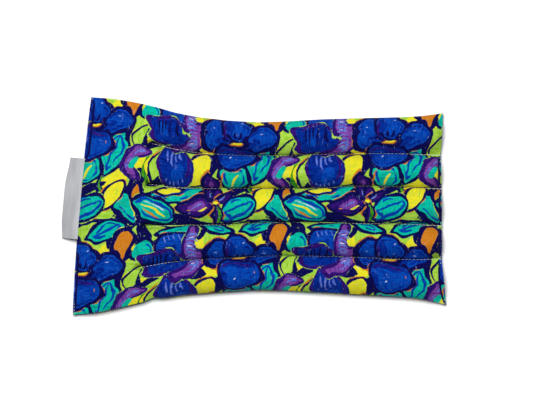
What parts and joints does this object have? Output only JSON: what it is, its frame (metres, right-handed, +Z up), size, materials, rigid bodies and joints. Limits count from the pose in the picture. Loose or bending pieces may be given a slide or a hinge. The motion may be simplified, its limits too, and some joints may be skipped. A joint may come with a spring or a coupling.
{
  "type": "eye pillow",
  "caption": "Weighted eye pillow: a printed cotton sack quilted into lengthwise grain-filled channels that open into one end pouch, with a folded ribbon label in the end seam.",
  "frame": {"origin": "on the table, under the middle of the whole pillow with its label", "axes": "+X along the channels from the header pouch to the far end, +Y across them, +Z up out of the front panel"},
  "size_m": [0.2482, 0.1412, 0.0169],
  "materials": {
    "front_cloth": "matt printed cotton",
    "back_cloth": "matt printed cotton",
    "grain": "loose flax seed",
    "stitching": "spun polyester thread, off-white",
    "seam_thread": "spun polyester thread, off-white",
    "ribbon": "light grey satin ribbon"
  },
  "bodies": {
    "pillow": {"front_panel": "front_cloth", "back_panel": "back_cloth", "header_fill": "grain", "channel_fill_1": "grain", "channel_fill_2": "grain", "channel_fill_3": "grain", "channel_fill_4": "grain", "channel_fill_5": "grain", "needle_thread_1": "stitching", "needle_thread_2": "stitching", "needle_thread_3": "stitching", "needle_thread_4": "stitching", "bobbin_thread_1": "stitching", "bobbin_thread_2": "stitching", "bobbin_thread_3": "stitching", "bobbin_thread_4": "stitching", "upper_seam_thread": "seam_thread", "lower_seam_thread": "seam_thread", "far_seam_thread": "seam_thread", "closing_seam_thread": "seam_thread", "side_label_tail": "ribbon"},
    "label": {"side_label": "ribbon"}
  },
  "joints": [
    {"name": "label_flap", "type": "hinge", "parent": "pillow", "child": "label", "pos_m": [-0.11251, 0.00459, 0.007], "axis": [0.0857, 0.9963, 0], "range_deg": [-100, 120], "stiffness_Nm_per_rad": 0.0002}
  ]
}
